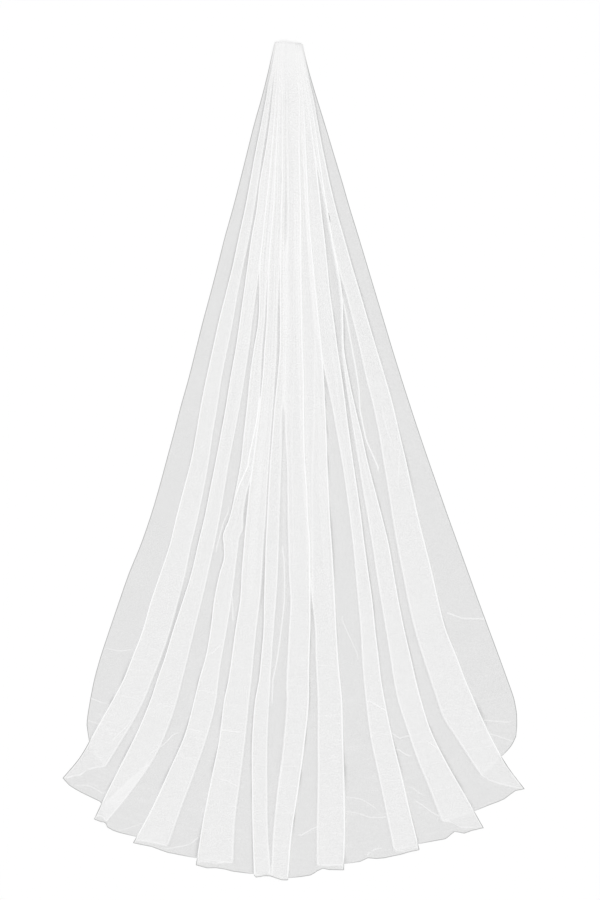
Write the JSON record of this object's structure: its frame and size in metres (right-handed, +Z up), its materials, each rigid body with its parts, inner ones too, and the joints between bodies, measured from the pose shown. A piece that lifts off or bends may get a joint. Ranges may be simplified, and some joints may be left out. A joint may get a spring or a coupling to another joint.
{
  "type": "tulle veil",
  "caption": "Long white tulle veil laid flat: knife pleats fan from a gathered end on a hair comb to a wide raw-cut hem.",
  "frame": {"origin": "on the surface the veil lies on, under the middle of its plan outline", "axes": "+Y from the hem towards the gathered end, +X to the right as the picture shows it, +Z up out of the surface"},
  "size_m": [1.652, 2.997, 0.0173],
  "materials": {
    "tulle": "soft white nylon tulle, fine net, matt, sheer where it lies single and denser at folds",
    "clear_plastic": "moulded clear plastic, smooth and a little glossy"
  },
  "bodies": {
    "root": {"panel": "tulle", "comb": "clear_plastic"}
  },
  "joints": []
}
